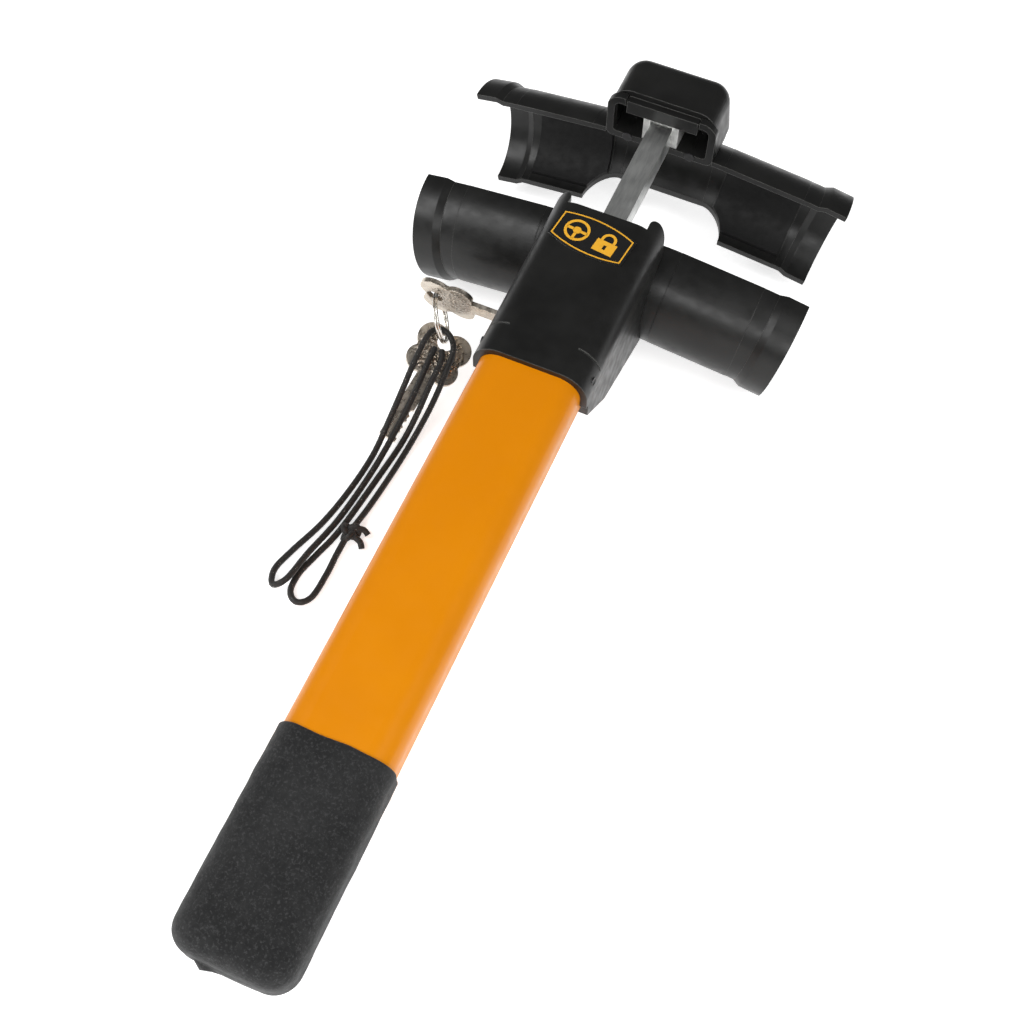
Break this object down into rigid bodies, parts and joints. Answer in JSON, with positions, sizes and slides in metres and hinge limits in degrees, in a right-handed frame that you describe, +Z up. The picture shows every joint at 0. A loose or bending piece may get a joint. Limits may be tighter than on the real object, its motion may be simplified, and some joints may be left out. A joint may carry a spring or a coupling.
{
  "type": "steering wheel lock",
  "caption": "Steering wheel lock with two half-round jaws, a sliding bar, a lock head, a tube handle with a dipped grip, keys and a cord.",
  "frame": {"origin": "middle of the object's footprint, on the surface that it lies on", "axes": "+X along the two jaws, to the right seen from the label; +Y along the handle from the grip towards the jaws; +Z up, the way the label faces"},
  "size_m": [0.1626, 0.3843, 0.0862],
  "materials": {
    "satin_black": "satin powder coat on the head, jaws, bracket and cap",
    "label_black": "glossy printed label",
    "tube_yellow": "glossy orange-yellow lacquer on the steel tube",
    "grip_dip": "matte soft dipped vinyl",
    "plain_steel": "plain machined steel",
    "zinc_bar": "dull zinc plating on the bar",
    "cast_socket": "as-cast light alloy",
    "liner_rubber": "matte moulded rubber",
    "dark_screws": "blackened screws, pins and rivets",
    "guide_nylon": "natural nylon",
    "plug_brass": "turned brass",
    "key_nickel": "nickel-plated keys and ring",
    "cord_black": "woven black cord"
  },
  "bodies": {
    "root": {"head_cover": "satin_black", "head_rear_body": "satin_black", "label_plate": "label_black", "handle_tube": "tube_yellow", "handle_grip": "grip_dip", "tube_end_plug": "liner_rubber", "head_cross_pin": "dark_screws", "body_screws": "dark_screws", "fixed_jaw": "satin_black", "fixed_jaw_liners": "liner_rubber", "fixed_jaw_screws": "dark_screws", "liner_rivets": "dark_screws", "bar_guide": "guide_nylon", "stop_bush": "plain_steel", "lock_housing": "plain_steel"},
    "sliding_jaw": {"sliding_bar": "zinc_bar", "bar_stop": "plain_steel", "bar_stop_pin": "plain_steel", "bar_socket": "cast_socket", "moving_jaw": "satin_black", "moving_jaw_liner": "liner_rubber", "jaw_bracket": "satin_black", "bracket_rivets": "dark_screws", "jaw_cap": "satin_black", "cap_screws": "dark_screws"},
    "lock_core": {"lock_plug": "plug_brass", "plug_clip": "plain_steel", "lock_cam": "plain_steel"},
    "bolt": {"locking_bolt": "plain_steel", "bolt_spring": "plain_steel"},
    "key_one": {"key_1": "key_nickel"},
    "bunch": {"key_ring": "key_nickel", "key_2": "key_nickel", "lanyard_cord": "cord_black", "lanyard_knot": "cord_black"}
  },
  "joints": [
    {"name": "bar_slide", "type": "slide", "parent": "root", "child": "sliding_jaw", "axis": [0, 0.9869, 0.1616], "range_m": [-0.045, 0]},
    {"name": "key_turn", "type": "hinge", "parent": "root", "child": "lock_core", "pos_m": [0, 0.07167, 0.0326], "axis": [-1, 0, 0], "range_deg": [0, 90]},
    {"name": "bolt_lift", "type": "slide", "parent": "root", "child": "bolt", "axis": [0, -0.1616, 0.9869], "range_m": [0, 0.003], "deforming": ["bolt_spring"]},
    {"name": "key_pull", "type": "slide", "parent": "lock_core", "child": "key_one", "axis": [-1, 0, 0], "range_m": [0, 0.03]},
    {"name": "bunch_pull", "type": "slide", "parent": "root", "child": "bunch", "axis": [-1, 0, 0], "range_m": [0, 0.03]}
  ],
  "couplings": [
    {"joint": "key_turn", "follows": "bolt_lift", "rad_per_m": 523.59},
    {"joint": "bunch_pull", "follows": "key_pull", "ratio": 1}
  ]
}
